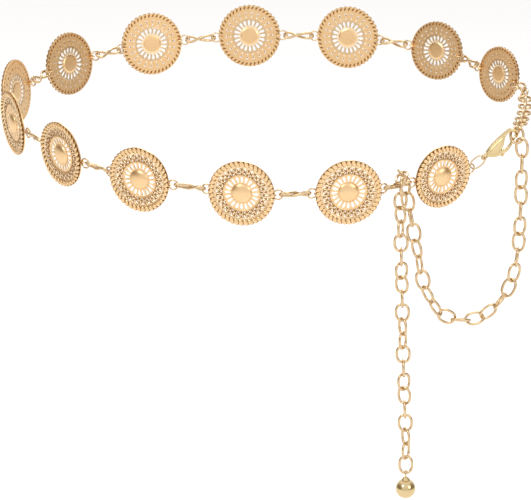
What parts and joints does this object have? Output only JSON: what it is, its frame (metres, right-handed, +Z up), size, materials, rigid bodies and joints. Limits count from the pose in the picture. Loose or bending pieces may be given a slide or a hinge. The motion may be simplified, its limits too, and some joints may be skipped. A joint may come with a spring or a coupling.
{
  "type": "medallion chain belt",
  "caption": "Chain belt of round openwork medallions joined by twisted links, closed with a lobster clasp, its extension chain swagged over the front and ending in a ball.",
  "frame": {"origin": "middle of the waist, at the height where the belt is worn", "axes": "+Z up along the wearer's body, -Y to the wearer's front, +X to the wearer's left, where the clasp and the hanging chain are"},
  "size_m": [0.3378, 0.2896, 0.2545],
  "materials": {
    "gold_plate": "pale gold plating, polished, on cast and stamped alloy",
    "polished_pale_gold": "pale gold plating, mirror polished"
  },
  "bodies": {
    "belt": {"medallion_front_5": "gold_plate", "medallion_front_4": "gold_plate", "medallion_front_3": "gold_plate", "medallion_front_2": "gold_plate", "medallion_front_1": "gold_plate", "medallion_side_front": "gold_plate", "medallion_side_back": "gold_plate", "medallion_back_1": "gold_plate", "medallion_back_2": "gold_plate", "medallion_back_3": "gold_plate", "medallion_back_4": "gold_plate", "medallion_back_5": "gold_plate", "medallion_back_6": "gold_plate", "jump_ring_after_front_5": "gold_plate", "twisted_link_after_front_5": "gold_plate", "jump_ring_before_front_4": "gold_plate", "jump_ring_after_front_4": "gold_plate", "twisted_link_after_front_4": "gold_plate", "jump_ring_before_front_3": "gold_plate", "jump_ring_after_front_3": "gold_plate", "twisted_link_after_front_3": "gold_plate", "jump_ring_before_front_2": "gold_plate", "jump_ring_after_front_2": "gold_plate", "twisted_link_after_front_2": "gold_plate", "jump_ring_before_front_1": "gold_plate", "jump_ring_after_front_1": "gold_plate", "twisted_link_after_front_1": "gold_plate", "jump_ring_before_side_front": "gold_plate", "jump_ring_after_side_front": "gold_plate", "twisted_link_after_side_front": "gold_plate", "jump_ring_before_side_back": "gold_plate", "jump_ring_after_side_back": "gold_plate", "twisted_link_after_side_back": "gold_plate", "jump_ring_before_back_1": "gold_plate", "jump_ring_after_back_1": "gold_plate", "twisted_link_after_back_1": "gold_plate", "jump_ring_before_back_2": "gold_plate", "jump_ring_after_back_2": "gold_plate", "twisted_link_after_back_2": "gold_plate", "jump_ring_before_back_3": "gold_plate", "jump_ring_after_back_3": "gold_plate", "twisted_link_after_back_3": "gold_plate", "jump_ring_before_back_4": "gold_plate", "jump_ring_after_back_4": "gold_plate", "twisted_link_after_back_4": "gold_plate", "jump_ring_before_back_5": "gold_plate", "jump_ring_after_back_5": "gold_plate", "twisted_link_after_back_5": "gold_plate", "jump_ring_before_back_6": "gold_plate", "end_ring_at_chain": "gold_plate", "chain_clasp_stretch": "gold_plate", "chain_swag_right": "gold_plate", "chain_swag_left": "gold_plate", "chain_tail": "gold_plate", "end_ring_at_clasp": "gold_plate", "clasp_body": "polished_pale_gold", "clasp_ring": "gold_plate"},
    "lever": {"clasp_lever": "polished_pale_gold"},
    "pendant": {"ball_pendant": "polished_pale_gold"}
  },
  "joints": [
    {"name": "clasp_lever_hinge", "type": "hinge", "parent": "belt", "child": "lever", "pos_m": [0.15153, -0.08757, -0.00462], "axis": [0.3252, -0.9366, -0.1304], "range_deg": [0, 6], "stiffness_Nm_per_rad": 0.02, "springref_deg": -8.59},
    {"name": "pendant_swing", "type": "hinge", "parent": "belt", "child": "pendant", "pos_m": [0.0922, -0.127, -0.1986], "axis": [-1, 0.002, -0.0052], "range_deg": [-50, 50]}
  ]
}
